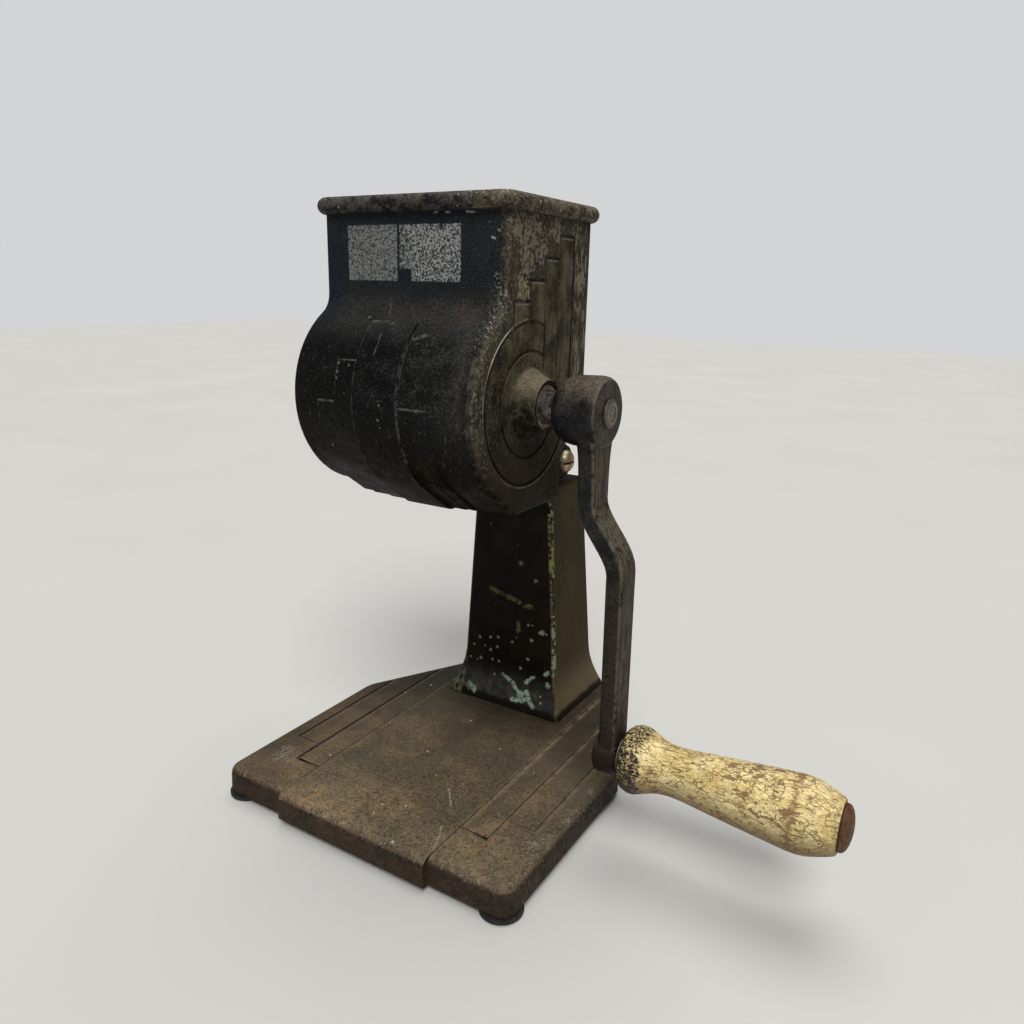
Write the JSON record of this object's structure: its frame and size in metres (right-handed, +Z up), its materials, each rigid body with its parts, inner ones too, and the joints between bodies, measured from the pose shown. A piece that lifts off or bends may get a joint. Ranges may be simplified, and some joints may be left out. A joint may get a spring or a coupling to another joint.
{
  "type": "hand-cranked drum grinder",
  "caption": "Free-standing hand-cranked grinder: square open hopper over a horizontal drum housing on a tapered pedestal and flat base, with a bent side crank and a turned wooden grip.",
  "frame": {"origin": "centre of the base casting's underside, on the crossing of its ribs", "axes": "+X points to the crank's side along the shaft, -Y to the front where the drum bulges out, +Z up"},
  "size_m": [0.2733, 0.1879, 0.277],
  "materials": {
    "rusty_base_iron": "worn and rusty, brown-grey patina",
    "olive_black_paint": "dark olive-black enamel, chipped at the edges",
    "black_housing_paint": "blue-black enamel with fine pale speckle and worn brown edges",
    "dark_worn_steel": "dark, worn and slightly rusty",
    "dark_cast_iron": "dark as-cast iron",
    "plain_steel": "plain, dulled",
    "dull_brass": "dull, slightly tarnished",
    "bush_bronze": "dark bearing bronze",
    "black_rubber": "matte",
    "cream_painted_wood": "cream-yellow paint, crazed and stained",
    "dark_brown_cap": "dark brown, satin"
  },
  "bodies": {
    "stand": {"base_plate": "rusty_base_iron", "rubber_foot_front_left": "black_rubber", "rubber_foot_front_right": "black_rubber", "rubber_foot_rear_left": "black_rubber", "rubber_foot_rear_right": "black_rubber", "pedestal": "olive_black_paint", "pedestal_screw_front_left": "plain_steel", "pedestal_screw_front_right": "plain_steel", "pedestal_screw_rear_left": "plain_steel", "pedestal_screw_rear_right": "plain_steel", "grinder_housing": "black_housing_paint", "end_cover": "black_housing_paint", "cover_screw_1": "plain_steel", "cover_screw_2": "plain_steel", "cover_screw_3": "plain_steel", "cover_screw_4": "plain_steel", "clamp_bolt": "dull_brass", "clamp_washer": "plain_steel", "clamp_nut": "plain_steel", "left_bush": "bush_bronze", "right_bush": "bush_bronze", "left_thrust_washer": "plain_steel", "right_thrust_washer": "plain_steel", "breaker_plate": "dark_cast_iron", "breaker_screw_left": "plain_steel", "breaker_screw_right": "plain_steel"},
    "crank": {"drive_shaft": "plain_steel", "grinding_drum": "dark_cast_iron", "drum_pin": "plain_steel", "crank_arm": "dark_worn_steel", "handle_spindle": "plain_steel", "grip_washer": "plain_steel"},
    "grip": {"wooden_grip": "cream_painted_wood", "grip_end_cap": "dark_brown_cap"}
  },
  "joints": [
    {"name": "crank_turn", "type": "hinge", "parent": "stand", "child": "crank", "pos_m": [0, -0.0265, 0.1932], "axis": [1, 0, 0], "continuous": true},
    {"name": "grip_spin", "type": "hinge", "parent": "crank", "child": "grip", "pos_m": [0.14, -0.02211, 0.04527], "axis": [1, 0, 0], "continuous": true}
  ]
}
